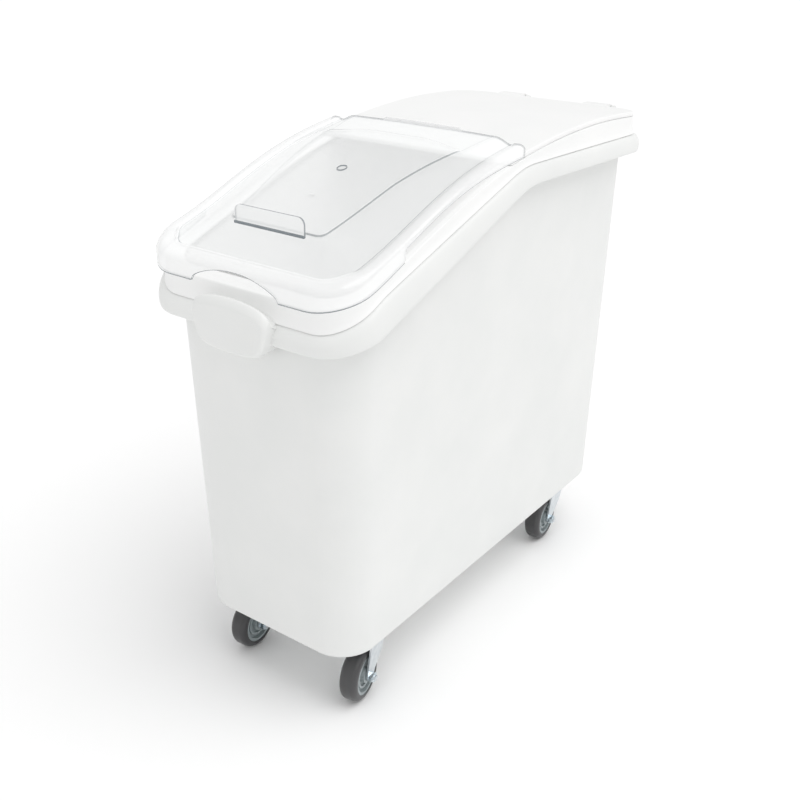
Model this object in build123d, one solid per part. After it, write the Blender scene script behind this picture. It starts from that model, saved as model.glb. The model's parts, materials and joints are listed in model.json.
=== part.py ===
"""Slant-top pet food bin on four swivel casters, with a sliding clear scoop lid.

Frame: millimetres, +Z up, floor at Z = 0, the front of the bin faces -Y.
The origin is the middle of the bounding box, on the floor.
Every profile below is drawn about the middle of the tub; export() moves
each piece back by TUB_SHIFT_Y so that the grip and rear rim balance.
"""
import os

from build123d import *

# ---- tub -------------------------------------------------------------------
TUB_SHIFT_Y = 8.0            # middle of the tub behind the middle of the whole bin
TUB_BOTTOM = 95.0            # underside of the tub above the floor
TUB_HALF_W = 132.3           # at the underside
TUB_HALF_L = 335.7
TUB_CORNER = 50.7
DRAFT = 0.0205               # growth of each half size per mm of height
LOFT_TOP = 725.0             # the raw tub is cut down to the rim line from here
WALL = 3.5
FLOOR_THICKNESS = 4.5
FOOT_RADIUS = 7.0            # round edge of the underside
RIM_SPAN = 400.0             # rim lines run from -RIM_SPAN to +RIM_SPAN in Y

BEAD_HALF_W, BEAD_HALF_L, BEAD_CORNER = 165.0, 367.0, 60.0
NECK_HALF_W, NECK_HALF_L, NECK_CORNER = 153.3, 355.5, 50.0
MOUTH_HALF_W, MOUTH_HALF_L, MOUTH_CORNER = 134.0, 337.0, 40.0
FLANGE_THICKNESS = 4.0

# side view (Y, Z) of the rim lines: corners, with the radii that round them
BEAD_LOW = [(-RIM_SPAN, 524), (-300, 552), (5, 658), (RIM_SPAN, 643)]
CREASE = [(-RIM_SPAN, 533), (-300, 589.5), (0, 681), (RIM_SPAN, 667)]
RIM_LINE_RADIUS = 150.0
# the flange top bows gently, so it is a smooth curve through these points
FLANGE = [(-RIM_SPAN, 572), (-300, 603.5), (-190, 641), (-60, 679.5),
          (60, 697), (180, 702.5), (300, 697), (RIM_SPAN, 686)]

# ---- front grip ------------------------------------------------------------
GRIP_TOP, GRIP_BOTTOM = 581.0, 513.0
GRIP_TOP_HALF_W, GRIP_BOTTOM_HALF_W = 58.0, 46.0
GRIP_FRONT = -383.0          # front face
GRIP_SKIN = 3.5
GRIP_CORNER = 12.0

# ---- rear lid --------------------------------------------------------------
SEAT_GAP = 0.4               # lid skirt above the flange
LID_LIP = 7.5                # top of the rear lid above the flange
LID_SKIN = 3.2
LID_SKIRT = 3.8
REAR_LID_FRONT = -28.0       # hidden front edge, under the clear lid
HINGE_X = 75.0               # middle of each hinge
HINGE_Y, HINGE_Z = 361.5, 694.0
HINGE_WIDTH = 54.0
KNUCKLE_RADIUS = 5.0
EAR_THICKNESS = 6.0
EAR_WEB_HEIGHT = 12.0
EAR_GAP = 0.5
PIN_RADIUS = 2.5
PIN_CLEARANCE = 0.06

# ---- clear front lid -------------------------------------------------------
SLIDE_Y, SLIDE_Z = 175.5, -497.5      # axis that the curved lid slides about
CLEAR_HALF_W, CLEAR_FRONT, CLEAR_CORNER = 157.0, -368.0, 54.0
CLEAR_BACK = -3.0
CLEAR_SKIN = 2.7
CLEAR_RIM_WIDTH = 17.0
GUIDE_BACK = -257.0          # end of the deep part of the side skirts
ARCH_HALF_W, ARCH_TOP, ARCH_CORNER = 67.0, 602.0, 12.0
CLEAR_TOP = [(-RIM_SPAN, 583), (-368, 606), (-340, 619), (-300, 630), (-232, 652),
             (-173, 673), (-110, 691), (-40, 704), (10, 710)]
DEEP_EDGE = [(-RIM_SPAN, 574), (-368, 585.5), (-300, 605.5), (-250, 624)]
SHALLOW_EDGE = [(-262, 633.5), (-165, 669), (10, 694.5)]
# stations of the domed middle: (Y, half width of the flat top, rise over the rim)
DOME = [(-352, 58, 0.6), (-297, 72, 15.5), (-180, 87, 14.5), (-72, 104, 8.7), (-3, 112, 5.2)]
PULL_HALF_W, PULL_FRONT, PULL_THICKNESS = 53.0, -305.0, 3.0
PULL_FOOT, PULL_TOP, PULL_CORNER = 640.5, 665.0, 9.0
BACK_LIP_HALF_W, BACK_LIP_HEIGHT = 64.0, 5.0

# ---- casters ---------------------------------------------------------------
CASTER_X, CASTER_Y = 95.0, 250.0
TRAIL = 29.0                 # wheels trail towards the front
REST_TURN = {"front_left": 4.0, "front_right": 12.0, "rear_left": 0.0, "rear_right": 5.0}
WHEEL_RADIUS = 37.5
TREAD_WIDTH = 26.0
TREAD_ROUND = 8.0
CORE_RADIUS = 28.0
CORE_WIDTH = 24.0
WEB_WIDTH = 14.0
HUB_RADIUS = 11.0
HUB_WIDTH = 27.0
BORE_RADIUS = 6.0
BUSH_CLEARANCE = 0.08
AXLE_RADIUS = 4.0
FIT = 0.02                   # thin gap between pieces that are clamped together
FORK_GAP = 30.0
FORK_PLATE = 2.6
FORK_TOP = 86.0
FORK_CROWN_RADIUS = 22.0
FORK_CROWN_UNDERSIDE = FORK_TOP - FORK_PLATE
PLATE_SIZE_X, PLATE_SIZE_Y, PLATE_THICKNESS = 58.0, 74.0, 2.6
RACE_RADIUS, RACE_HEIGHT = 18.0, 4.0
KINGPIN_RADIUS = 5.0
KINGPIN_HEAD_RADIUS, KINGPIN_HEAD = 9.0, 2.2
RUN_GAP = 0.35               # between the turning fork and the fixed race
NUT_ACROSS, NUT_HEIGHT = 13.0, 6.5
BOLT_HEAD_HEIGHT = 5.3
BOLT_TAIL = 5.0
SCREW_RADIUS, SCREW_HEAD_RADIUS, SCREW_HEAD = 2.6, 5.0, 2.4
SCREW_DX, SCREW_DY = 22.0, 30.0
CORNERS = {"front_left": (-1, -1), "front_right": (1, -1),
           "rear_left": (-1, 1), "rear_right": (1, 1)}


def export(name, solid):
    """Write one piece, moved into the frame of the whole bin."""
    export_step(Pos(0, TUB_SHIFT_Y, 0) * solid, f"parts/{name}.step")


# ---- helpers ---------------------------------------------------------------
def line_through(points):
    """Rim line made of straight runs joined by wide arcs, in (Y, Z)."""
    return FilletPolyline(*points, radius=RIM_LINE_RADIUS)


def height_at(curve, y):
    """Z of a side-view curve at one Y."""
    low, high = 0.0, 1.0
    for _ in range(40):
        middle = (low + high) / 2
        if (curve @ middle).X < y:
            low = middle
        else:
            high = middle
    return (curve @ low).Y


def lifted(curve, rise):
    return Pos(0, rise, 0) * curve


def band(low, high):
    """Slab across the bin between two side-view curves."""
    outline = Curve() + [low, high, Line(low @ 0, high @ 0), Line(low @ 1, high @ 1)]
    return extrude(Plane.YZ * make_face(outline), BEAD_HALF_W + 20, both=True)


def prism(half_w, half_l, corner, bottom=500.0, top=LOFT_TOP):
    """Upright block with a rounded rectangular plan."""
    plan = Pos(0, 0, bottom) * RectangleRounded(2 * half_w, 2 * half_l, corner)
    return extrude(plan, top - bottom)


def tub_form(inset, bottom):
    """The drafted body of the tub, inset from its outer surface."""
    plans = []
    for z in (bottom, LOFT_TOP):
        grow = DRAFT * (z - TUB_BOTTOM) - inset
        plan = RectangleRounded(2 * (TUB_HALF_W + grow), 2 * (TUB_HALF_L + grow),
                                TUB_CORNER + grow / 2)
        plans.append(Pos(0, 0, z) * plan)
    return loft(plans, ruled=True)


# ---- tub -------------------------------------------------------------------
def hinge_ears():
    """Two pairs of ears on the back of the neck that hold the hinge pins."""
    ears = []
    for side in (-1, 1):
        for end in (-1, 1):
            x = side * HINGE_X + end * (HINGE_WIDTH - EAR_THICKNESS) / 2
            knuckle = Pos(x, HINGE_Y, HINGE_Z) * Rot(0, 90, 0) * Cylinder(
                KNUCKLE_RADIUS, EAR_THICKNESS)
            web_front = NECK_HALF_L - WALL / 2
            web = Pos(x, (web_front + HINGE_Y) / 2, HINGE_Z - 11) * Box(
                EAR_THICKNESS, HINGE_Y - web_front, EAR_WEB_HEIGHT)
            hole = Pos(x, HINGE_Y, HINGE_Z) * Rot(0, 90, 0) * Cylinder(
                PIN_RADIUS + FIT, EAR_THICKNESS + 2)
            ears.append(knuckle + web - hole)
    return ears


def bin_tub(bead_low, crease, flange):
    form = tub_form(0, TUB_BOTTOM)
    form = fillet(form.faces().sort_by(Axis.Z)[0].edges(), FOOT_RADIUS)
    floor_line = Line((-RIM_SPAN, 0), (RIM_SPAN, 0))
    body = form & band(floor_line, lifted(crease, 4))
    bead = prism(BEAD_HALF_W, BEAD_HALF_L, BEAD_CORNER) & band(bead_low, crease)
    neck_form = prism(NECK_HALF_W, NECK_HALF_L, NECK_CORNER)
    neck = neck_form & band(lifted(crease, -WALL), flange)

    under_flange = lifted(flange, -FLANGE_THICKNESS)
    inside = tub_form(WALL, TUB_BOTTOM + FLOOR_THICKNESS) & band(floor_line, under_flange)
    inside_neck = prism(NECK_HALF_W - WALL, NECK_HALF_L - WALL, NECK_CORNER - WALL)
    inside_neck = inside_neck & band(lifted(crease, 0.5), under_flange)
    mouth = prism(MOUTH_HALF_W, MOUTH_HALF_L, MOUTH_CORNER)
    mouth = mouth & band(lifted(flange, -12), lifted(flange, 12))
    under_bead = prism(BEAD_HALF_W - WALL, BEAD_HALF_L - WALL, BEAD_CORNER - WALL)
    under_bead = (under_bead & band(lifted(bead_low, -20), lifted(crease, -WALL))) - form
    finger_room = Pos(0, -BEAD_HALF_L + 4, GRIP_BOTTOM + 20) * Box(
        2 * (GRIP_BOTTOM_HALF_W - GRIP_SKIN), 12, 40)

    tub = body + bead + neck - inside - inside_neck - mouth - under_bead
    tub = tub + hinge_ears()
    return tub - finger_room


def front_grip():
    """Hollow pull that hangs over the front of the bead, open underneath."""
    depth = -BEAD_HALF_L - GRIP_FRONT

    def tongue(inset):
        outline = Polyline((-GRIP_TOP_HALF_W + inset, GRIP_TOP - inset),
                           (-GRIP_BOTTOM_HALF_W + inset, GRIP_BOTTOM),
                           (GRIP_BOTTOM_HALF_W - inset, GRIP_BOTTOM),
                           (GRIP_TOP_HALF_W - inset, GRIP_TOP - inset), close=True)
        face = make_face(outline)
        face = fillet(face.vertices(), GRIP_CORNER - inset)
        return extrude(Plane.XZ * face, depth - inset)

    solid = Pos(0, -BEAD_HALF_L - FIT, 0) * tongue(0)
    pocket = Pos(0, -BEAD_HALF_L - FIT + 0.1, -GRIP_CORNER - 2) * tongue(GRIP_SKIN)
    return solid - pocket


# ---- rear lid --------------------------------------------------------------
def rear_lid(flange):
    top = lifted(flange, LID_LIP)
    lid = prism(NECK_HALF_W, NECK_HALF_L, NECK_CORNER) & band(lifted(flange, SEAT_GAP), top)
    hollow = prism(NECK_HALF_W - LID_SKIRT, NECK_HALF_L - LID_SKIRT, NECK_CORNER - LID_SKIRT)
    hollow = hollow & band(lifted(flange, -5), lifted(flange, LID_LIP - LID_SKIN))
    behind_front = Pos(0, REAR_LID_FRONT + LID_SKIRT + 250, 690) * Box(400, 500, 400)
    behind_edge = Pos(0, REAR_LID_FRONT + 250, 690) * Box(400, 500, 400)
    lid = (lid & behind_edge) - (hollow & behind_front)
    arm_length = HINGE_Y - NECK_HALF_L + 16
    inner = HINGE_WIDTH - 2 * (EAR_THICKNESS + EAR_GAP)
    arm_bottom = height_at(flange, NECK_HALF_L) + LID_LIP - LID_SKIN
    arm_top = arm_bottom + LID_SKIN + 2.0
    for side in (-1, 1):
        arm = Pos(side * HINGE_X, HINGE_Y - arm_length / 2, (arm_bottom + arm_top) / 2) * Box(
            inner, arm_length, arm_top - arm_bottom)
        knuckle = Pos(side * HINGE_X, HINGE_Y, HINGE_Z) * Rot(0, 90, 0) * Cylinder(
            KNUCKLE_RADIUS, inner)
        hole = Pos(side * HINGE_X, HINGE_Y, HINGE_Z) * Rot(0, 90, 0) * Cylinder(
            PIN_RADIUS + PIN_CLEARANCE, inner + 2)
        lid = lid + arm + knuckle - hole
    return lid


def hinge_pin(side):
    return Pos(side * HINGE_X, HINGE_Y, HINGE_Z) * Rot(0, 90, 0) * Cylinder(
        PIN_RADIUS, HINGE_WIDTH)


# ---- clear front lid -------------------------------------------------------
def clear_prism(inset):
    """Plan of the clear lid: round front corners, cut straight at the back."""
    block = prism(CLEAR_HALF_W - inset, -CLEAR_FRONT - inset, CLEAR_CORNER - inset)
    back = CLEAR_BACK
    return block & Pos(0, back - 250, 600) * Box(400, 500, 400)


def dome_section(top_curve, y, half_w, rise):
    """Cross-section of the domed skin at one station."""
    edge_w = CLEAR_HALF_W - CLEAR_RIM_WIDTH + 1.5
    edge = height_at(top_curve, y) - 0.4
    crest = edge + rise
    outline = Polyline((-edge_w, edge), (-half_w, crest), (half_w, crest), (edge_w, edge),
                       (edge_w, edge - CLEAR_SKIN), (half_w, crest - CLEAR_SKIN),
                       (-half_w, crest - CLEAR_SKIN), (-edge_w, edge - CLEAR_SKIN), close=True)
    return Pos(0, y, 0) * Rot(90, 0, 0) * make_face(outline)


def pull_tab():
    """Upright finger pull on the front slope of the dome."""
    plate = Box(2 * PULL_HALF_W, PULL_THICKNESS, PULL_TOP - PULL_FOOT)
    plate = fillet(plate.edges().filter_by(Axis.Y).group_by(Axis.Z)[-1], PULL_CORNER)
    return Pos(0, PULL_FRONT + PULL_THICKNESS / 2, (PULL_TOP + PULL_FOOT) / 2) * plate


def front_lid():
    top = Spline(*CLEAR_TOP)
    under = lifted(top, -CLEAR_SKIN)
    rim = (clear_prism(0) - clear_prism(CLEAR_RIM_WIDTH)) & band(under, top)
    skirt = clear_prism(0) - clear_prism(CLEAR_SKIN)
    ahead = Pos(0, GUIDE_BACK - 250, 600) * Box(400, 500, 400)
    deep = skirt & band(Spline(*DEEP_EDGE), top) & ahead
    shallow = (skirt & band(Spline(*SHALLOW_EDGE), top)) - ahead
    dome = loft([dome_section(top, *station) for station in DOME], ruled=True)
    lip_z = height_at(top, CLEAR_BACK) + DOME[-1][2] + BACK_LIP_HEIGHT / 2 - 1.0
    lip = Pos(0, CLEAR_BACK - 1.5, lip_z) * Box(2 * BACK_LIP_HALF_W, 3, BACK_LIP_HEIGHT + 1.0)
    arch = Rectangle(2 * ARCH_HALF_W, 60)
    arch = fillet(arch.vertices().group_by(Axis.Y)[-1], ARCH_CORNER)
    arch = Pos(0, CLEAR_FRONT + 6, ARCH_TOP - 30) * extrude(Plane.XZ * arch, 20)
    return rim + deep + shallow + dome + pull_tab() + lip - arch


# ---- casters (drawn about the swivel axis, wheel towards -Y) ----------------
def across(radius, length, x=0.0, y=-TRAIL, z=WHEEL_RADIUS):
    """Cylinder along X, on the axle line unless told otherwise."""
    return Pos(x, y, z) * Rot(0, 90, 0) * Cylinder(radius, length)


def hexagon(height):
    return extrude(RegularPolygon(NUT_ACROSS / 2, 6, major_radius=False), height)


def caster_plate():
    z = TUB_BOTTOM - PLATE_THICKNESS / 2
    plate = Pos(0, 0, z) * Box(PLATE_SIZE_X, PLATE_SIZE_Y, PLATE_THICKNESS)
    plate = fillet(plate.edges().filter_by(Axis.Z), 7)
    holes = [Pos(dx, dy, z) * Cylinder(SCREW_RADIUS + 0.3, PLATE_THICKNESS + 2)
             for dx, dy in screw_spots()]
    kingpin_hole = Pos(0, 0, z) * Cylinder(KINGPIN_RADIUS + FIT, PLATE_THICKNESS + 2)
    return plate - holes - kingpin_hole


def caster_race():
    """Fixed upper race, pressed from sheet and clamped under the plate."""
    top = TUB_BOTTOM - PLATE_THICKNESS - FIT
    ring = Pos(0, 0, top - RACE_HEIGHT / 2) * Cylinder(RACE_RADIUS, RACE_HEIGHT)
    ring = chamfer(ring.edges().group_by(Axis.Z)[0], 1.5)
    return ring - Pos(0, 0, top - RACE_HEIGHT / 2) * Cylinder(
        KINGPIN_RADIUS + FIT, RACE_HEIGHT + 2)


def kingpin():
    """Rivet that carries the fork: shank, and a head under the crown."""
    top = TUB_BOTTOM - FIT
    head_top = FORK_CROWN_UNDERSIDE - RUN_GAP
    shank = Pos(0, 0, (top + head_top) / 2) * Cylinder(KINGPIN_RADIUS, top - head_top)
    head = Pos(0, 0, head_top - KINGPIN_HEAD / 2) * Cylinder(KINGPIN_HEAD_RADIUS, KINGPIN_HEAD)
    head = chamfer(head.edges().group_by(Axis.Z)[0], 0.8)
    return shank + head


def fork():
    """Pressed crown with two legs that sweep forward to the axle."""
    crown = Pos(0, 0, FORK_TOP - FORK_PLATE / 2) * Cylinder(FORK_CROWN_RADIUS, FORK_PLATE)
    saddle = Pos(0, -FORK_CROWN_RADIUS / 2, FORK_TOP - FORK_PLATE / 2) * Box(
        FORK_GAP + 2 * FORK_PLATE, FORK_CROWN_RADIUS, FORK_PLATE)
    outline = Polyline((19, FORK_TOP), (-21, FORK_TOP), (-TRAIL - 9, WHEEL_RADIUS),
                       (-TRAIL, WHEEL_RADIUS - 11), (-TRAIL + 9, WHEEL_RADIUS - 2),
                       (8, 58), (19, 74), close=True)
    leg_face = make_face(outline)
    leg_face = fillet(leg_face.vertices().sort_by(Axis.Y)[:4], 5)
    leg = extrude(Plane.YZ * leg_face, FORK_PLATE)
    legs = [Pos(FORK_GAP / 2, 0, 0) * leg, Pos(-FORK_GAP / 2 - FORK_PLATE, 0, 0) * leg]
    solid = crown + saddle + legs
    bore = Pos(0, 0, FORK_TOP) * Cylinder(KINGPIN_RADIUS + 0.1, 4 * FORK_PLATE)
    return solid - bore - across(AXLE_RADIUS + FIT, 80)


def tyre():
    ring = across(WHEEL_RADIUS, TREAD_WIDTH)
    ring = fillet(ring.edges().filter_by(GeomType.CIRCLE), TREAD_ROUND)
    return ring - across(CORE_RADIUS + FIT, TREAD_WIDTH + 2)


def wheel_core():
    core = across(CORE_RADIUS, CORE_WIDTH)
    half_trough = (CORE_WIDTH - WEB_WIDTH) / 2
    for side in (-1, 1):
        x = side * (CORE_WIDTH - half_trough) / 2
        groove = across(CORE_RADIUS - 4, half_trough, x=x)
        core = core - (groove - across(HUB_RADIUS, half_trough + 2, x=x))
        rib = across(CORE_RADIUS - 9, half_trough - 2, x=x - side)
        core = core + (rib - across(CORE_RADIUS - 12, half_trough, x=x - side))
    core = core + across(HUB_RADIUS, HUB_WIDTH)
    return core - across(BORE_RADIUS + BUSH_CLEARANCE, HUB_WIDTH + 2)


def axle_bush():
    """Steel sleeve clamped between the fork legs; the wheel turns on it."""
    return across(BORE_RADIUS, FORK_GAP - 2 * FIT) - across(AXLE_RADIUS + FIT, FORK_GAP + 2)


def axle_bolt():
    half = FORK_GAP / 2 + FORK_PLATE
    tail = half + NUT_HEIGHT + BOLT_TAIL - 2
    shank = across(AXLE_RADIUS, tail + half + 1, x=(tail - half - 1) / 2)
    head = Pos(-half - BOLT_HEAD_HEIGHT, -TRAIL, WHEEL_RADIUS) * Rot(0, 90, 0) * hexagon(
        BOLT_HEAD_HEIGHT)
    return shank + head


def axle_nut():
    half = FORK_GAP / 2 + FORK_PLATE
    nut = Pos(half + FIT, -TRAIL, WHEEL_RADIUS) * Rot(0, 90, 0) * hexagon(NUT_HEIGHT)
    return nut - across(AXLE_RADIUS + FIT, 80)


def screw_spots():
    return [(dx, dy) for dx in (-SCREW_DX, SCREW_DX) for dy in (-SCREW_DY, SCREW_DY)]


def caster_screws():
    """Heads of the sixteen screws that hold the plates, as separate solids."""
    z = TUB_BOTTOM - PLATE_THICKNESS
    screws = []
    for side, end in CORNERS.values():
        for dx, dy in screw_spots():
            spot = Pos(side * CASTER_X + dx, end * CASTER_Y + dy, 0)
            head = Pos(0, 0, z - FIT - SCREW_HEAD / 2) * Cylinder(SCREW_HEAD_RADIUS, SCREW_HEAD)
            head = fillet(head.edges().group_by(Axis.Z)[0], 1.0)
            shank = Pos(0, 0, z - FIT + PLATE_THICKNESS / 2) * Cylinder(
                SCREW_RADIUS, PLATE_THICKNESS)
            screws.append(spot * (head + shank))
    return Compound(children=screws)


def export_casters():
    fixed = {"plate": caster_plate(), "race": caster_race(), "kingpin": kingpin()}
    swivelling = {"fork": fork(), "tyre": tyre(), "core": wheel_core(), "bush": axle_bush(),
                  "axle_bolt": axle_bolt(), "axle_nut": axle_nut()}
    for corner, (side, end) in CORNERS.items():
        spot = Pos(side * CASTER_X, end * CASTER_Y, 0)
        for piece, solid in fixed.items():
            export(f"{piece}_{corner}", spot * solid)
        for piece, solid in swivelling.items():
            export(f"{piece}_{corner}", spot * Rot(0, 0, REST_TURN[corner]) * solid)
    export("caster_screws", caster_screws())


def main():
    os.makedirs("parts", exist_ok=True)
    flange = Spline(*FLANGE)
    export("bin_tub", bin_tub(line_through(BEAD_LOW), line_through(CREASE), flange))
    export("front_grip", front_grip())
    export("rear_lid", rear_lid(flange))
    export("front_lid", front_lid())
    export("hinge_pin_left", hinge_pin(-1))
    export("hinge_pin_right", hinge_pin(1))
    export_casters()


main()
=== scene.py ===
"""Looks of the slant-top pet food bin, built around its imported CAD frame.

Profiles are drawn in millimetres about the middle of the tub and turned into
metres, in the row frame, when a mesh is made. The front of the bin faces -Y.
"""
import json
import math

import bpy
import bmesh
import numpy as np
from mathutils import Matrix, Vector


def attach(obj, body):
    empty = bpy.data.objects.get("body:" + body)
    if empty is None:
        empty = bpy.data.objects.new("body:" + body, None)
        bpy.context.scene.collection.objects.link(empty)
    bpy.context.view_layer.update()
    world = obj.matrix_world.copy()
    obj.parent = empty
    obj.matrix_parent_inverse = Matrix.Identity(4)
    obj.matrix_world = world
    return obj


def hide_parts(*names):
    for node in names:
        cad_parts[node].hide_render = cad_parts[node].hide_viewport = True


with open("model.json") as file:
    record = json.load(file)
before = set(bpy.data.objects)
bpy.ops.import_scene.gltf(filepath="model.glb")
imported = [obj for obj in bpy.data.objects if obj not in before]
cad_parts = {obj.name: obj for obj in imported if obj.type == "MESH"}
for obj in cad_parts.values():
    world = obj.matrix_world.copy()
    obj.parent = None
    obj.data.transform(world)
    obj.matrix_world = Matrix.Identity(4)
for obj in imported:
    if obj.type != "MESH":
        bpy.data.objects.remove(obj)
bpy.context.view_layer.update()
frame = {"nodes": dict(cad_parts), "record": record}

MM = 0.001
SHIFT = 8.0                      # middle of the tub behind the row frame's origin

# ---- tub sizes (mm) --------------------------------------------------------
TUB_BOTTOM, TUB_HALF_W, TUB_HALF_L, TUB_CORNER = 95.0, 132.3, 335.7, 50.7
DRAFT = 0.0205
WALL = 3.5
FOOT_RADIUS = 7.0
FLOOR_THICKNESS = 4.5
NECK_HALF_W, NECK_HALF_L, NECK_CORNER = 153.3, 355.5, 50.0
BEAD_PROUD_W, BEAD_PROUD_L, BEAD_PROUD_R = 11.7, 11.5, 10.0
MOUTH_HALF_W, MOUTH_HALF_L, MOUTH_CORNER = 134.0, 337.0, 40.0
BEAD_LOW = [(-400, 524), (-300, 552), (5, 658), (400, 643)]
CREASE = [(-400, 533), (-300, 589.5), (0, 681), (400, 667)]
RIM_LINE_RADIUS = 150.0
FLANGE = [(-400, 572), (-300, 603.5), (-190, 641), (-60, 679.5),
          (60, 697), (180, 702.5), (300, 697), (400, 686)]

# ---- lid sizes (mm) --------------------------------------------------------
SEAT_GAP, LID_LIP, LID_SKIN, LID_SKIRT = 0.4, 7.5, 3.2, 3.8
REAR_LID_FRONT = -28.0
HINGE_X, HINGE_Y, HINGE_Z = 75.0, 361.5, 694.0
HINGE_WIDTH, KNUCKLE_RADIUS, EAR_THICKNESS, EAR_GAP = 54.0, 5.0, 6.0, 0.5
CLEAR_HALF_W, CLEAR_FRONT, CLEAR_BACK, CLEAR_CORNER = 157.0, -368.0, -3.0, 54.0
CLEAR_SKIN = 2.7
GUIDE_BACK = -257.0
ARCH_HALF_W = 67.0
CLEAR_TOP = [(-400, 583), (-368, 606), (-340, 619), (-300, 630), (-232, 652),
             (-173, 673), (-110, 691), (-40, 704), (10, 710)]
DEEP_EDGE = [(-400, 574), (-368, 585.5), (-300, 605.5), (-250, 624)]
SHALLOW_EDGE = [(-262, 633.5), (-165, 669), (10, 694.5)]


# ---- lines and plans -------------------------------------------------------
def bent_line(points, radius):
    """Straight runs joined by wide arcs, as a function of Y."""
    slopes = [(b[1] - a[1]) / (b[0] - a[0]) for a, b in zip(points, points[1:])]

    def height(y):
        index = 0
        while index < len(slopes) - 1 and y > points[index + 1][0]:
            index += 1
        z = points[index][1] + slopes[index] * (y - points[index][0])
        for corner, (before, after) in enumerate(zip(slopes, slopes[1:]), start=1):
            reach = radius * abs(math.atan(after) - math.atan(before)) / 2
            away = y - points[corner][0]
            if abs(away) < reach:
                z = (points[corner][1] + before * away
                     + (after - before) * (away + reach) ** 2 / (4 * reach))
        return z
    return height


def smooth_line(points):
    """Natural cubic spline through the points, as a function of Y."""
    y = np.array([p[0] for p in points], float)
    z = np.array([p[1] for p in points], float)
    step = np.diff(y)
    size = len(y)
    matrix = np.eye(size)
    right = np.zeros(size)
    for i in range(1, size - 1):
        matrix[i, i - 1:i + 2] = step[i - 1], 2 * (step[i - 1] + step[i]), step[i]
        right[i] = 6 * ((z[i + 1] - z[i]) / step[i] - (z[i] - z[i - 1]) / step[i - 1])
    bend = np.linalg.solve(matrix, right)

    def height(at):
        i = int(np.clip(np.searchsorted(y, at) - 1, 0, size - 2))
        h, a, b = step[i], (y[i + 1] - at), (at - y[i])
        return ((bend[i] * a ** 3 + bend[i + 1] * b ** 3) / (6 * h)
                + (z[i] / h - bend[i] * h / 6) * a + (z[i + 1] / h - bend[i + 1] * h / 6) * b)
    return height


def interpolate(table, at):
    """Straight-line reading of a short table."""
    return float(np.interp(at, [row[0] for row in table], [row[1] for row in table]))


def ease(t):
    """Smooth step from 0 to 1."""
    t = min(max(t, 0.0), 1.0)
    return t * t * (3 - 2 * t)


bead_low = bent_line(BEAD_LOW, RIM_LINE_RADIUS)
crease = bent_line(CREASE, RIM_LINE_RADIUS)
flange = smooth_line(FLANGE)
clear_top = smooth_line(CLEAR_TOP)
deep_edge = smooth_line(DEEP_EDGE)
shallow_edge = smooth_line(SHALLOW_EDGE)

CORNER_STEPS, SIDE_STEPS, END_STEPS = 14, 60, 26


def plan(half_front, half_back, front, back, r_front, r_back):
    """Closed outline, anticlockwise from the right front corner: same point count each time."""
    fractions = [i / SIDE_STEPS for i in range(1, SIDE_STEPS)]
    points = []

    def corner(cx, cy, radius, start):
        for i in range(CORNER_STEPS + 1):
            angle = math.radians(start + 90 * i / CORNER_STEPS)
            points.append((cx + radius * math.cos(angle), cy + radius * math.sin(angle)))

    def run(a, b, steps):
        for t in steps:
            points.append((a[0] + (b[0] - a[0]) * t, a[1] + (b[1] - a[1]) * t))

    short = [i / END_STEPS for i in range(1, END_STEPS)]
    corner(half_front - r_front, front + r_front, r_front, -90)
    run((half_front, front + r_front), (half_back, back - r_back), fractions)
    corner(half_back - r_back, back - r_back, r_back, 0)
    run((half_back - r_back, back), (-half_back + r_back, back), short)
    corner(-half_back + r_back, back - r_back, r_back, 90)
    run((-half_back, back - r_back), (-half_front, front + r_front),
        [1 - t for t in reversed(fractions)])
    corner(-half_front + r_front, front + r_front, r_front, 180)
    run((-half_front + r_front, front), (half_front - r_front, front), short)
    return points


def oval(half_w, half_l, corner):
    """Plan of a rounded rectangle centred on the tub."""
    return plan(half_w, half_w, -half_l, half_l, corner, corner)


def neck_plan(outset):
    share = outset / BEAD_PROUD_W
    return oval(NECK_HALF_W + outset, NECK_HALF_L + BEAD_PROUD_L * share,
                NECK_CORNER + BEAD_PROUD_R * share)


def wall_plan(z, inset=0.0):
    grow = DRAFT * (z - TUB_BOTTOM) - inset
    return oval(TUB_HALF_W + grow, TUB_HALF_L + grow, TUB_CORNER + grow / 2)


def ring(outline, height):
    """3-D points of one ring; height is a number or a function of (x, y)."""
    rise = height if callable(height) else (lambda x, y: height)
    return [(x, y, rise(x, y)) for x, y in outline]


# ---- mesh helpers ----------------------------------------------------------
def to_row(point):
    return Vector((point[0] * MM, (point[1] + SHIFT) * MM, point[2] * MM))


def new_object(name, bm, material, smooth=True, angle=40):
    """Turn a bmesh into an object with smooth shading and its material or materials."""
    bmesh.ops.recalc_face_normals(bm, faces=bm.faces)
    mesh = bpy.data.meshes.new(name)
    bm.to_mesh(mesh)
    bm.free()
    obj = bpy.data.objects.new(name, mesh)
    bpy.context.scene.collection.objects.link(obj)
    materials = material if isinstance(material, (list, tuple)) else [material]
    for item in materials:
        mesh.materials.append(item)
    if smooth:
        mesh.polygons.foreach_set("use_smooth", [True] * len(mesh.polygons))
        mesh.set_sharp_from_angle(angle=math.radians(angle))
    return obj


def skin(bm, rings, closed=True, cap_first=False, cap_last=False):
    """Join rings of equal length with quads; optional flat caps at either end."""
    rows = [[bm.verts.new(to_row(p)) for p in r] for r in rings]
    count = len(rows[0])
    last = count if closed else count - 1
    for lower, upper in zip(rows, rows[1:]):
        for i in range(last):
            j = (i + 1) % count
            bm.faces.new((lower[i], lower[j], upper[j], upper[i]))
    if cap_first:
        bm.faces.new(rows[0])
    if cap_last:
        bm.faces.new(rows[-1])
    return rows


def arc_steps(start, end, steps):
    """Angles in radians, from start to end degrees."""
    return [math.radians(start + (end - start) * i / steps) for i in range(steps + 1)]


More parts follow.
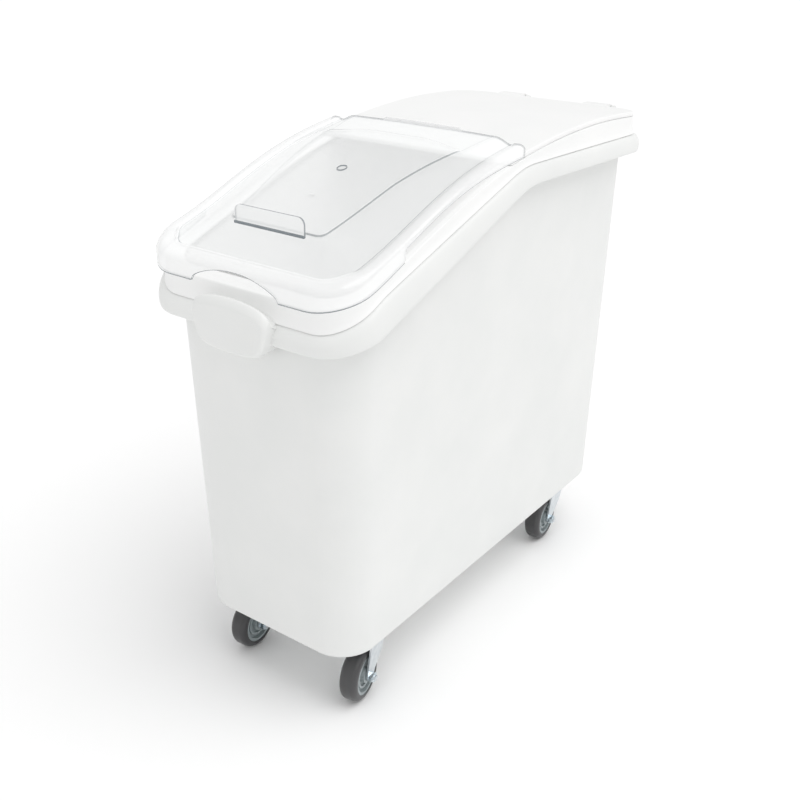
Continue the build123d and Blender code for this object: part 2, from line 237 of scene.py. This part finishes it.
# ---- materials -------------------------------------------------------------
def material(name, color, rough, **sockets):
    mat = bpy.data.materials.new(name)
    mat.use_nodes = True
    shader = mat.node_tree.nodes["Principled BSDF"]
    shader.inputs["Base Color"].default_value = (*color, 1)
    shader.inputs["Roughness"].default_value = rough
    for socket, value in sockets.items():
        shader.inputs[socket.replace("_", " ")].default_value = value
    return mat, mat.node_tree, shader


def noise(tree, scale, detail=4.0, stretch=None):
    coords = tree.nodes.new("ShaderNodeTexCoord")
    texture = tree.nodes.new("ShaderNodeTexNoise")
    texture.inputs["Scale"].default_value = scale
    texture.inputs["Detail"].default_value = detail
    source = coords.outputs["Object"]
    if stretch:
        mapping = tree.nodes.new("ShaderNodeMapping")
        mapping.inputs["Scale"].default_value = stretch
        tree.links.new(source, mapping.inputs["Vector"])
        source = mapping.outputs["Vector"]
    tree.links.new(source, texture.inputs["Vector"])
    return texture.outputs["Fac"]


def ramp(tree, source, low, high):
    """Map 0..1 to low..high, for numbers or colours."""
    if isinstance(low, tuple):
        node = tree.nodes.new("ShaderNodeValToRGB")
        node.color_ramp.elements[0].color = (*low, 1)
        node.color_ramp.elements[1].color = (*high, 1)
        node.color_ramp.elements[0].position = 0.3
        node.color_ramp.elements[1].position = 0.7
        tree.links.new(source, node.inputs["Fac"])
        return node.outputs["Color"]
    node = tree.nodes.new("ShaderNodeMapRange")
    node.inputs["To Min"].default_value = low
    node.inputs["To Max"].default_value = high
    tree.links.new(source, node.inputs["Value"])
    return node.outputs["Result"]


def bump(tree, shader, source, strength, distance):
    node = tree.nodes.new("ShaderNodeBump")
    node.inputs["Strength"].default_value = strength
    node.inputs["Distance"].default_value = distance
    tree.links.new(source, node.inputs["Height"])
    tree.links.new(node.outputs["Normal"], shader.inputs["Normal"])
    return node


def moulded_plastic(name, low, high, rough, **sockets):
    """Satin moulded polyethylene: faint mottling and a very fine grain."""
    mat, tree, shader = material(name, low, rough, **sockets)
    tree.links.new(ramp(tree, noise(tree, 9.0), low, high), shader.inputs["Base Color"])
    tree.links.new(ramp(tree, noise(tree, 60.0), rough - 0.05, rough + 0.06),
                   shader.inputs["Roughness"])
    bump(tree, shader, noise(tree, 900.0, 2.0), 0.10, 0.0002)
    return mat


def clear_plastic(name, tint, alpha, rough):
    mat, tree, shader = material(name, tint, rough, Alpha=alpha, IOR=1.58)
    tree.links.new(ramp(tree, noise(tree, 30.0), rough - 0.03, rough + 0.05),
                   shader.inputs["Roughness"])
    bump(tree, shader, noise(tree, 14.0, 2.0), 0.05, 0.001)
    return mat


def plated_steel(name, low, high, rough):
    """Zinc plate: slightly uneven bluish metal with a soft drawn grain."""
    mat, tree, shader = material(name, low, rough, Metallic=1.0)
    tree.links.new(ramp(tree, noise(tree, 120.0), low, high), shader.inputs["Base Color"])
    tree.links.new(ramp(tree, noise(tree, 400.0, 3.0, (1, 1, 0.1)), rough - 0.1, rough + 0.12),
                   shader.inputs["Roughness"])
    bump(tree, shader, noise(tree, 700.0, 3.0), 0.08, 0.0002)
    return mat


white = moulded_plastic("tub_white", (0.80, 0.81, 0.80), (0.84, 0.845, 0.835), 0.42)
# lighter copy of the tub white for the neck and the flange top: a painted highlight; the neck is
# the same moulding as the rest of the tub
painted_highlight_neck = moulded_plastic("neck_painted_highlight", (0.90, 0.905, 0.90), (0.93, 0.93, 0.925), 0.4)
# lighter copy of the tub white for the inside: painted light that brightens the deep inside; it is
# the same moulding as the outside
painted_light_inside = moulded_plastic("tub_inside_painted_light", (0.93, 0.935, 0.93), (0.955, 0.955, 0.95), 0.5)
lid_white = moulded_plastic("lid_white", (0.90, 0.905, 0.90), (0.93, 0.93, 0.925), 0.36)
clear = clear_plastic("clear_lid", (0.97, 0.98, 0.98), 0.5, 0.08)
clear_rim = clear_plastic("clear_lid_rim", (0.97, 0.975, 0.975), 0.62, 0.1)
# grey, denser clear for the groove inside the rail and the edge of the raised flat top: painted
# shade in these creases
clear_crease_shade = clear_plastic("clear_lid_painted_shade", (0.50, 0.53, 0.54), 0.45, 0.1)
# dark blue-grey, denser clear for cut edges and thick parts of the lid: partly the plastic's own
# tint through its thickness, partly painted shade
clear_edge_painted_shade = clear_plastic("clear_edge_painted_shade", (0.16, 0.19, 0.21), 0.7, 0.12)
zinc = plated_steel("zinc_plate", (0.62, 0.66, 0.69), (0.76, 0.79, 0.81), 0.32)
bright_zinc = plated_steel("bright_zinc", (0.55, 0.64, 0.70), (0.74, 0.80, 0.84), 0.2)
rubber = moulded_plastic("tyre_rubber", (0.045, 0.045, 0.047), (0.065, 0.065, 0.067), 0.3)
core_grey = moulded_plastic("core_grey", (0.30, 0.345, 0.355), (0.35, 0.39, 0.40), 0.33)


# ---- tub -------------------------------------------------------------------
def along(line, rise=0.0):
    """Height function for ring() that follows a side-view line."""
    return lambda x, y: line(y) + rise


def between(low, high, share):
    return lambda x, y: low(y) + (high(y) - low(y)) * share


# outset from the neck (mm) and share of the height, lower edge to crease
BEAD_FACE = ((9.6, -0.03), (10.4, -0.04), (11.1, 0.0), (11.5, 0.07), (11.7, 0.18),
             (11.7, 0.33), (11.4, 0.48), (10.8, 0.61), (9.7, 0.73), (8.2, 0.83),
             (6.4, 0.905), (4.6, 0.95), (3.2, 0.968), (2.0, 0.975), (1.4, 0.985))
# outset and share of the height, crease to flange
NECK_FACE = ((1.5, 0.005), (2.6, 0.02), (3.3, 0.035), (2.9, 0.07), (2.0, 0.13), (1.1, 0.22),
             (0.4, 0.34), (0.0, 0.5), (-0.1, 0.68), (0.0, 0.84), (0.0, 0.94))
# outset and rise over the flange of the low seal rib
SEAL_RIB = ((-5.0, 0.0), (-5.6, 0.25), (-7.4, 0.25), (-8.0, 0.0))
WALL_STEPS = 14
WALL_MIDDLE = 590.0              # height at which the plan of the wall under the bead is taken
INSIDE_TOP = 600.0               # the same for the top of the inside
INSIDE_STEPS = 10
INSIDE_FOOT_RADIUS = 8.0


def wall_rings():
    """Underside, its rounded edge, and the drafted wall up to the bead."""
    rings = []
    for angle in arc_steps(90, 0, 6):
        inset = FOOT_RADIUS * (1 - math.cos(angle))
        z = TUB_BOTTOM + FOOT_RADIUS * (1 - math.sin(angle))
        rings.append(ring(wall_plan(z, inset), z))
    foot_top = TUB_BOTTOM + FOOT_RADIUS
    for i in range(1, WALL_STEPS + 1):
        share = i / WALL_STEPS
        z_mean = foot_top + (WALL_MIDDLE - foot_top) * share
        rings.append(ring(wall_plan(z_mean),
                          lambda x, y, s=share: foot_top + (bead_low(y) + 7 - foot_top) * s))
    return rings


def bead_rings():
    """Channel under the bead, its lower lip, and the rounded outer face."""
    rings = [ring(neck_plan(2.0), along(bead_low, 9)), ring(neck_plan(8.2), along(bead_low, 9)),
             ring(neck_plan(9.0), along(bead_low, 1.0))]
    return rings + [ring(neck_plan(out), between(bead_low, crease, share))
                    for out, share in BEAD_FACE]


def neck_rings():
    """Neck, its rounded top edge and the seal rib on the flange."""
    rings = [ring(neck_plan(out), between(crease, flange, share)) for out, share in NECK_FACE]
    rings.append(ring(neck_plan(-0.5), along(flange, -0.2)))
    rings.append(ring(neck_plan(-1.6), along(flange)))
    return rings + [ring(neck_plan(out), along(flange, rise)) for out, rise in SEAL_RIB]


def inside_rings():
    """Mouth, underside of the flange, and the inside down to its floor."""
    mouth = oval(MOUTH_HALF_W + 1, MOUTH_HALF_L + 1, MOUTH_CORNER + 1)
    edge = oval(MOUTH_HALF_W, MOUTH_HALF_L, MOUTH_CORNER)
    inner_neck = neck_plan(-WALL)
    rings = [ring(mouth, along(flange)), ring(edge, along(flange, -1.0)),
             ring(edge, along(flange, -3.4)), ring(mouth, along(flange, -4.0)),
             ring(inner_neck, along(flange, -4.0)), ring(inner_neck, along(crease, 1.0)),
             ring(wall_plan(INSIDE_TOP, WALL), along(crease, 0.0))]
    floor = TUB_BOTTOM + FLOOR_THICKNESS
    foot = floor + INSIDE_FOOT_RADIUS
    for i in range(1, INSIDE_STEPS + 1):
        share = i / INSIDE_STEPS
        z_mean = INSIDE_TOP + (foot - INSIDE_TOP) * share
        rings.append(ring(wall_plan(z_mean, WALL),
                          lambda x, y, s=share: crease(y) + (foot - crease(y)) * s))
    for angle in arc_steps(0, 90, 4)[1:]:
        z = floor + INSIDE_FOOT_RADIUS * (1 - math.sin(angle))
        inset = WALL + INSIDE_FOOT_RADIUS * (1 - math.cos(angle))
        rings.append(ring(wall_plan(z, inset), z))
    return rings


def build_tub():
    bm = bmesh.new()
    below_neck = wall_rings() + bead_rings()
    outside = below_neck + neck_rings()
    rings = outside + inside_rings()
    skin(bm, rings, cap_first=True, cap_last=True)
    bm.faces.ensure_lookup_table()
    count = len(rings[0])
    # the neck and the flange top take the lighter neck white, a painted highlight
    for face in bm.faces[len(below_neck) * count:]:
        face.material_index = 2
    # the inside takes the lighter inside white, painted light
    for face in bm.faces[len(outside) * count:]:
        face.material_index = 1
    bm.faces[-2].material_index = 0      # the underside is the last face but one
    tub = new_object("tub_shell", bm, [white, painted_light_inside, painted_highlight_neck], angle=50)
    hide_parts("bin_tub")
    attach(tub, "bin")


# ---- front grip ------------------------------------------------------------
GRIP_FRONT = -383.0
# right half of the front view (x, z), from the middle of the arched top to the bottom
GRIP_SHAPE = [(0, 581.0), (12, 580.7), (24, 579.6), (34, 578.0), (43, 575.6), (50, 572.4),
              (54.5, 569.0), (57.3, 565.0), (58, 560.5), (57.6, 556), (56, 547), (54, 538),
              (51.6, 530.5), (48.2, 524.6), (43.6, 520.2), (37.6, 517.6), (30, 516.4),
              (20, 515.6), (10, 515.1), (0, 515.0)]
GRIP_MIDDLE = (0.0, 548.0)


def shrunk(points, inset):
    """Closed outline moved inwards by about inset, square to its own edges."""
    size = len(points)
    moved = []
    for i, (x, z) in enumerate(points):
        (xa, za), (xb, zb) = points[i - 1], points[(i + 1) % size]
        along_x, along_z = xb - xa, zb - za
        length = math.hypot(along_x, along_z)
        moved.append((x - inset * -along_z / length, z - inset * along_x / length))
    return moved


def grip_ring(inset, y, drop, scale):
    """One outline of the grip; drop lowers the arched top edge."""
    left = [(-x, z) for x, z in reversed(GRIP_SHAPE[:-1])]
    outline = left + GRIP_SHAPE[1:]
    points = []
    for x, z in shrunk(outline, inset):
        z -= drop * ease((z - 552.0) / 14.0)
        x = GRIP_MIDDLE[0] + (x - GRIP_MIDDLE[0]) * scale
        z = GRIP_MIDDLE[1] + (z - GRIP_MIDDLE[1]) * scale
        points.append((x, y + 0.0003 * x * x, z))
    return points


# (inset, distance behind the front face, drop of the top edge, scale) from back to front
GRIP_RINGS = ((0.6, 28, 13.0, 1), (0.3, 17, 11.0, 1), (0.1, 12.5, 6.0, 1), (0.0, 10.5, 2.0, 1),
              (0.0, 9.0, 0.4, 1), (0.0, 7.5, 0.0, 1), (0.0, 5.6, 0.8, 1), (0.2, 4.0, 2.2, 1),
              (0.8, 2.4, 4.0, 1), (1.7, 1.2, 5.2, 1), (2.9, 0.4, 5.8, 1), (4.5, 0.0, 6.0, 1),
              (6.5, 0.1, 6.0, 1), (6.5, 0.5, 6.0, 0.85), (6.5, 1.0, 6.0, 0.5),
              (6.5, 1.2, 6.0, 0.15))


def build_grip():
    bm = bmesh.new()
    rings = [grip_ring(inset, GRIP_FRONT + back, drop, scale)
             for inset, back, drop, scale in GRIP_RINGS]
    skin(bm, rings, cap_first=True, cap_last=True)
    grip = new_object("grip_shell", bm, white, angle=70)
    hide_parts("front_grip")
    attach(grip, "bin")


# ---- rear lid --------------------------------------------------------------
def rear_plan(inset, front_inset=None):
    front_inset = inset if front_inset is None else front_inset
    half = NECK_HALF_W - inset
    return plan(half, half, REAR_LID_FRONT + front_inset, NECK_HALF_L - inset,
                3.0, max(NECK_CORNER - inset, 3.0))


def tube(bm, side, x0, x1, radius, bore, steps=32):
    """Hinge knuckle across the bin between two X positions, with its bore."""
    rows = []
    for x, r in ((x0, bore), (x0, radius - 0.5), (x0 + 0.5, radius), (x1 - 0.5, radius),
                 (x1, radius - 0.5), (x1, bore), (x0, bore)):
        rows.append([(side * HINGE_X + x, HINGE_Y + r * math.cos(2 * math.pi * i / steps),
                      HINGE_Z + r * math.sin(2 * math.pi * i / steps)) for i in range(steps)])
    skin(bm, rows)


def block(bm, x0, x1, profile):
    """Prism across the bin from an outline of (y, z)."""
    rows = [[(x, y, z) for y, z in profile] for x in (x0, x1)]
    skin(bm, rows, cap_first=True, cap_last=True)


def build_hinge_ears():
    """Ears on the back of the neck, outside the lid's knuckles."""
    bm = bmesh.new()
    half = HINGE_WIDTH / 2
    foot = NECK_HALF_L - 1.0
    profile = [(foot, HINGE_Z - 17), (HINGE_Y - 1.5, HINGE_Z - 16), (HINGE_Y + 1.5, HINGE_Z - 13),
               (HINGE_Y + 4.2, HINGE_Z - 3), (HINGE_Y, HINGE_Z - 2.8), (foot, HINGE_Z - 4.5)]
    for side in (-1, 1):
        for x0 in (-half, half - EAR_THICKNESS):
            tube(bm, side, x0, x0 + EAR_THICKNESS, KNUCKLE_RADIUS, 2.52)
            block(bm, side * HINGE_X + x0, side * HINGE_X + x0 + EAR_THICKNESS, profile)
    ears = new_object("hinge_ears_shell", bm, white, angle=40)
    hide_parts("bin_tub")
    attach(ears, "bin")


def build_lid_lugs():
    """Low lugs on the lid's rear edge, each ending in a knuckle on the hinge pin."""
    bm = bmesh.new()
    half = HINGE_WIDTH / 2 - EAR_THICKNESS - EAR_GAP
    front = HINGE_Y - 21.0
    top = flange(NECK_HALF_L) + LID_LIP
    profile = [(front, flange(front) + LID_LIP - 1), (front + 2.5, top + 1.0),
               (front + 6, top + 1.8), (HINGE_Y, top + 1.8), (HINGE_Y + 3.2, top - 0.4),
               (HINGE_Y + 4.4, HINGE_Z + 2.0), (HINGE_Y + 2.6, HINGE_Z + 2.6),
               (NECK_HALF_L - 0.4, HINGE_Z + 3.4)]
    for side in (-1, 1):
        tube(bm, side, -half, half, KNUCKLE_RADIUS, 2.56)
        block(bm, side * HINGE_X - half, side * HINGE_X + half, profile)
    lugs = new_object("rear_lid_lugs", bm, lid_white, angle=40)
    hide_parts("rear_lid")
    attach(lugs, "rear_lid")


def build_rear_lid():
    rings = [ring(rear_plan(LID_SKIRT), along(flange, LID_LIP - LID_SKIN)),
             ring(rear_plan(LID_SKIRT), along(flange, SEAT_GAP + 0.6)),
             ring(rear_plan(LID_SKIRT - 0.6), along(flange, SEAT_GAP)),
             ring(rear_plan(0.7), along(flange, SEAT_GAP)),
             ring(rear_plan(0.0), along(flange, SEAT_GAP + 0.8)),
             ring(rear_plan(0.0), along(flange, 4.6))]
    for angle in arc_steps(0, 90, 5)[1:]:
        rings.append(ring(rear_plan(2.2 * (1 - math.cos(angle))),
                          along(flange, 4.6 + 2.2 * math.sin(angle))))
    for inset, rise in ((8, 6.9), (16, 7.0), (28, 7.2), (48, 7.4), (80, 7.5), (120, 7.5),
                        (146, 7.5)):
        rings.append(ring(rear_plan(inset), along(flange, rise)))
    bm = bmesh.new()
    skin(bm, rings, cap_first=True, cap_last=True)
    lid = new_object("rear_lid_shell", bm, lid_white, angle=55)
    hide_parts("rear_lid")
    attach(lid, "rear_lid")


# ---- clear lid -------------------------------------------------------------
PLATEAU_FRONT, PLATEAU_STEP = -297.0, 3.6
# outline of the raised flat top: (y, half width), and height of the surface just outside it
PLATEAU_SIDE = [(-297, 72), (-180, 87), (-72, 104), (-3, 112)]
DOME_RISE = [(-345, -1.0), (-297, 11.9), (-180, 10.9), (-72, 5.1), (-3, 5.4)]
ARCH_RISE = 22.0
PULL_HALF_W, PULL_FRONT, PULL_THICKNESS, PULL_CORNER = 53.0, -305.0, 2.6, 8.5
PULL_FOOT, PULL_TOP = 642.0, 665.0
BACK_LIP_HALF_W, BACK_LIP_HEIGHT = 64.0, 3.0
SLICES = 48
DOME_STEPS = 10


def nose(y):
    """0 along the lid's sides and 1 round its front end, where the rim is fuller."""
    return ease((-306 - y) / 40)


def open_outline(half_at, front, corner, back, side_y):
    """U-shaped outline from the rear right corner round the front to the rear left one.

    half_at gives the half width at a depth Y; side_y are shares of the side's length.
    """
    corner = max(min(corner, half_at(front) - 1.0), 0.5)
    start = front + corner
    points = [(half_at(back + (start - back) * t), back + (start - back) * t) for t in side_y]
    half = half_at(start)
    for i in range(1, CORNER_STEPS + 1):
        angle = math.radians(-90 * i / CORNER_STEPS)
        points.append((half - corner + corner * math.cos(angle), start + corner * math.sin(angle)))
    across = 64
    reach = half - corner
    right = points + [(reach * (1 - 2 * i / across), front) for i in range(1, across // 2)]
    return right + [(0.0, front)] + [(-x, y) for x, y in reversed(right)]


def side_shares():
    """Rear to front shares of the lid's side, close together at the step in the skirt."""
    length = CLEAR_BACK - (CLEAR_FRONT + CLEAR_CORNER)
    step = (CLEAR_BACK - GUIDE_BACK) / length
    marks = {i / SLICES for i in range(SLICES + 1)}
    marks = {m for m in marks if abs(m - step) > 0.018}
    marks |= {step + d for d in (-0.014, -0.008, -0.004, 0.0, 0.004, 0.008, 0.014)}
    return sorted(marks)


def edge_height(y):
    """Lower edge of the skirt: deep at the front, shallow behind."""
    deep = deep_edge(min(y, -252))
    return deep + (shallow_edge(y) - deep) * ease((y - GUIDE_BACK) / 4.0)


def arch_rise(x, y):
    """How far the front edge is cut up over the grip."""
    if y > CLEAR_FRONT + 1 or abs(x) >= ARCH_HALF_W:
        return 0.0
    share = abs(x) / ARCH_HALF_W
    return 4.0 * ease((1 - share) / 0.05) + (ARCH_RISE - 4.0) * (1 - share ** 2.2) ** 0.9


def clear_outline(inset):
    half = CLEAR_HALF_W - inset
    return open_outline(lambda y: half, CLEAR_FRONT + inset, max(CLEAR_CORNER - inset, 12),
                        CLEAR_BACK, side_shares())


def rim_rows():
    """Skirt, rounded shoulder, flat rail and the groove inside it."""
    outer, inner = clear_outline(0.0), clear_outline(30.0)
    columns = []
    for (x0, y0), (x1, y1) in zip(outer, inner):
        def at(inset, x0=x0, y0=y0, x1=x1, y1=y1):
            t = inset / 30.0
            return x0 + (x1 - x0) * t, y0 + (y1 - y0) * t
        full = nose(y0)
        width, round_up, rail = 9 + 9 * full, 6.5 + 7.5 * full, 17 + 6.5 * full
        x, y = at(width)
        crown, low = clear_top(y) + 0.4, edge_height(y0)
        start = arch_rise(x0, y0)
        column = []
        for share in (0.0, 0.045, 0.25, 0.45, 0.6, 0.72, 0.82, 0.9, 0.96, 0.99, 1.0):
            z = low + start + (crown - low - start) * share
            up = max(z - (crown - round_up), 0.0) / round_up
            column.append((*at(width * (1 - math.sqrt(max(1 - up * up, 0.0)))), z))
        for extra, fall in ((0.45, 0.0), (0.85, 0.2), (1.0, 0.7)):
            x, y = at(width + (rail - width) * extra)
            column.append((x, y, clear_top(y) + 0.4 - fall))
        for extra, share in ((1.4, 0.75), (3.2, 1.0), (4.3, 1.0), (6.0, 1.0)):
            x, y = at(rail + extra)
            column.append((x, y, clear_top(y) + 0.4 - 0.7 - share * groove_depth(y)))
        columns.append(column)
    return [list(row) for row in zip(*columns)]


def groove_depth(y):
    return 1.6 + 2.4 * nose(y)


def plateau_outline(inset):
    def half_at(y):
        return interpolate(PLATEAU_SIDE, y) - inset
    return open_outline(half_at, PLATEAU_FRONT + inset, 11.0, CLEAR_BACK, side_shares())


def dome_height(y, share):
    """Rise over the rim line from the groove (share 0) to the edge of the flat top (1)."""
    low = -0.3 - groove_depth(y)
    return low + (interpolate(DOME_RISE, y) - low) * math.sin(share * math.pi / 2) ** 1.15


def dome_rows(low):
    rows = []
    high = plateau_outline(0.0)
    for i in range(1, DOME_STEPS + 1):
        share = i / DOME_STEPS
        row = []
        for (xa, ya, _), (xb, yb) in zip(low, high):
            x, y = xa + (xb - xa) * share, ya + (yb - ya) * share
            row.append((x, y, clear_top(y) + dome_height(y, share)))
        rows.append(row)
    return rows


def step_on(x, y):
    """1 on the raised flat top, 0 outside it; the rear edge of the flat top bulges back."""
    rear = -50 - 22 * (x / 104) ** 2
    return ease((rear + 3.0 - y) / 6.0)


def flat_height(x, y, inset, lift):
    crown = 1.2 * (1 - (x / 110) ** 2)
    return (clear_top(y) + interpolate(DOME_RISE, y) + crown * ease(inset / 30)
            + PLATEAU_STEP * lift * step_on(x, y))


def flat_rows():
    rows = []
    for inset, lift in ((0.5, 0.25), (1.3, 0.8), (1.9, 1.0), (5, 1.0), (14, 1.0), (26, 1.0),
                        (38, 1.0), (50, 1.0), (62, 1.0), (70, 1.0)):
        rows.append([(x, y, flat_height(x, y, inset, lift)) for x, y in plateau_outline(inset)])
    return rows


def close_centre(bm, row):
    """Fill between the two arms of the innermost U-shaped row."""
    for i in range(len(row) // 2):
        four = (row[i], row[i + 1], row[-2 - i], row[-1 - i])
        corners = [v for k, v in enumerate(four) if v not in four[:k]]
        if len(corners) > 2:
            bm.faces.new(corners)


def upright_plate(bm, outline, front, back):
    """Thin upright plate from an outline of (x, z); its edges get the dark edge material, painted
    shade.
    """
    near = [bm.verts.new(to_row((x, front, z))) for x, z in outline]
    far = [bm.verts.new(to_row((x, back, z))) for x, z in outline]
    bm.faces.new(near)
    bm.faces.new(list(reversed(far)))
    for i in range(len(outline)):
        j = (i + 1) % len(outline)
        bm.faces.new((near[i], near[j], far[j], far[i])).material_index = 1


def pull_tab(bm):
    """Upright finger pull on the front slope, with a thick rib along its foot; the rib is all dark
    edge material, painted shade.
    """
    half, radius = PULL_HALF_W, PULL_CORNER
    outline = [(-half, PULL_FOOT), (half, PULL_FOOT)]
    outline += [(half - radius + radius * math.cos(a), PULL_TOP - radius + radius * math.sin(a))
                for a in arc_steps(0, 90, 9)]
    outline += [(-half + radius - radius * math.sin(a), PULL_TOP - radius + radius * math.cos(a))
                for a in arc_steps(0, 90, 9)]
    upright_plate(bm, outline, PULL_FRONT, PULL_FRONT + PULL_THICKNESS)
    foot = [(-half - 0.6, PULL_FOOT), (half + 0.6, PULL_FOOT),
            (half + 0.6, PULL_FOOT + 3.2), (-half - 0.6, PULL_FOOT + 3.2)]
    first = len(bm.faces)
    upright_plate(bm, foot, PULL_FRONT - 1.6, PULL_FRONT - 0.05)
    darken(bm, first)


def back_lip(bm):
    """Low upstand in the middle of the lid's rear edge, with rounded ends."""
    front, steps, round_from = CLEAR_BACK - CLEAR_SKIN, 32, 60
    rows = []
    for i in range(steps + 1):
        x = BACK_LIP_HALF_W * (-1 + 2 * i / steps)
        base = flat_height(x, CLEAR_BACK, 40, 0.0) - 1.0
        past = max(abs(x) - round_from, 0.0) / (BACK_LIP_HALF_W - round_from)
        top = base + 1 + BACK_LIP_HEIGHT * math.sqrt(max(1 - past ** 2, 0.0))
        rows.append([(x, front, base), (x, front, top), (x, CLEAR_BACK, top),
                     (x, CLEAR_BACK, base)])
    grid = skin(bm, rows)
    # the two end faces take the dark edge material, painted shade
    for row in (grid[0], grid[-1]):
        bm.faces.new(row).material_index = 1


def darken(bm, first):
    """Give every face from number first on the dark edge material, painted shade of thick clear
    plastic.
    """
    bm.faces.ensure_lookup_table()
    for face in bm.faces[first:]:
        face.material_index = 1


def gate_mark(bm):
    """Small moulded ring on the flat top, all in the dark edge material: painted shade."""
    middle, steps = -172.0, 28
    turns = [2 * math.pi * i / steps for i in range(steps)]
    rows = []
    for radius, lift in ((7.0, -0.3), (6.6, 0.9), (5.4, 0.9), (4.9, -0.3)):
        circle = [(radius * math.cos(a), middle + radius * math.sin(a)) for a in turns]
        rows.append([(x, y, flat_height(0, y, 60, 1.0) + lift) for x, y in circle])
    first = len(bm.faces)
    skin(bm, rows)
    darken(bm, first)


def thicken(obj, thickness):
    """Give an open sheet its wall; each cut edge takes the material after its face's."""
    wall = obj.modifiers.new("wall", "SOLIDIFY")
    wall.thickness = thickness * MM
    wall.offset = -1
    wall.material_offset_rim = 1


def build_clear_lid():
    bm = bmesh.new()
    rim = rim_rows()
    rows = rim + dome_rows(rim[-1]) + flat_rows()
    close_centre(bm, skin(bm, rows, closed=False)[-1])
    bm.faces.ensure_lookup_table()
    strip = len(rim[0]) - 1
    # the lowest strip of the skirt takes the dark edge material, painted shade along its lower
    # edge; the rest of the rim takes the rim clear
    for i, face in enumerate(bm.faces[:strip * (len(rim) - 4)]):
        face.material_index = 3 if i < strip else 2
    # the groove inside the rail and the edge of the raised flat top take the grey clear, painted
    # shade in these creases, and read as soft lines
    for start in (len(rim) - 3, len(rim) + DOME_STEPS):
        for face in bm.faces[strip * start:strip * (start + 1)]:
            face.material_index = 4
    # the dark edge, painted shade on the cut edges, comes twice, once after each of the two faces
    # that have cut edges
    lid = new_object("clear_lid_shell", bm,
                     [clear, clear_edge_painted_shade, clear_rim, clear_edge_painted_shade, clear_crease_shade], angle=30)
    thicken(lid, CLEAR_SKIN)
    bm = bmesh.new()
    pull_tab(bm)
    back_lip(bm)
    gate_mark(bm)
    details = new_object("clear_lid_details", bm, [clear, clear_edge_painted_shade], angle=30)
    for piece in (lid, details):
        piece.visible_shadow = False
        piece.visible_diffuse = False
        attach(piece, "front_lid")
        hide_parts("front_lid")


# ---- carried-over CAD nodes --------------------------------------------------
def dress_cad_nodes():
    looks = {"zinc_steel": zinc, "bright_steel": bright_zinc, "tyre_rubber": rubber,
             "core_plastic": core_grey}
    slots = {s["node"]: s["material_slot"] for s in frame["record"]["subparts"]}
    for name, node in frame["nodes"].items():
        if slots[name] in looks:
            node.data.materials.clear()
            node.data.materials.append(looks[slots[name]])


# ---- stage -----------------------------------------------------------------
FLOOR_HALF, FLOOR_DROP = 40.0, 0.0004      # metres; the drop keeps the tyres off the floor
SKY_STRENGTH = 0.76
CAMERA_PLACE = (0.81997, -1.16302, 0.99396)
CAMERA_TARGET = (0.0, -0.04133, 0.32971)
CAMERA_LENS, CAMERA_ROLL = 48.05, 0.391


def build_stage():
    bm = bmesh.new()
    bmesh.ops.create_grid(bm, x_segments=1, y_segments=1, size=FLOOR_HALF)
    floor_mat, _, _ = material("floor", (0.97, 0.97, 0.97), 0.9)
    floor = new_object("floor", bm, floor_mat, smooth=False)
    floor.location.z = -FLOOR_DROP
    world = bpy.data.worlds.new("studio")
    bpy.context.scene.world = world
    world.use_nodes = True
    background = world.node_tree.nodes["Background"]
    background.inputs["Color"].default_value = (1, 1, 1, 1)
    background.inputs["Strength"].default_value = SKY_STRENGTH
    bpy.context.scene.view_settings.view_transform = "Standard"


def soft_sun(name, direction, strength, spread):
    """Large distant soft box: direction points from the object to the light."""
    light = bpy.data.lights.new(name, "SUN")
    light.energy = strength
    light.angle = math.radians(spread)
    obj = bpy.data.objects.new(name, light)
    obj.rotation_euler = Vector(direction).to_track_quat("Z", "Y").to_euler()
    bpy.context.scene.collection.objects.link(obj)


def build_camera():
    """Camera to the front right of the bin, looking down on its lids."""
    place, target = Vector(CAMERA_PLACE), Vector(CAMERA_TARGET)
    camera = bpy.data.cameras.new("camera")
    camera.sensor_width = 36
    camera.lens = CAMERA_LENS
    obj = bpy.data.objects.new("camera", camera)
    turn = (target - place).to_track_quat("-Z", "Y")
    roll = Matrix.Rotation(math.radians(CAMERA_ROLL), 4, "Z")
    obj.matrix_world = Matrix.Translation(place) @ turn.to_matrix().to_4x4() @ roll
    bpy.context.scene.collection.objects.link(obj)
    bpy.context.scene.camera = obj


build_tub()
build_grip()
build_rear_lid()
build_lid_lugs()
build_hinge_ears()
build_clear_lid()
dress_cad_nodes()
build_stage()
soft_sun("key", (0.42, 0.1, 0.9), 1.1, 50)
build_camera()
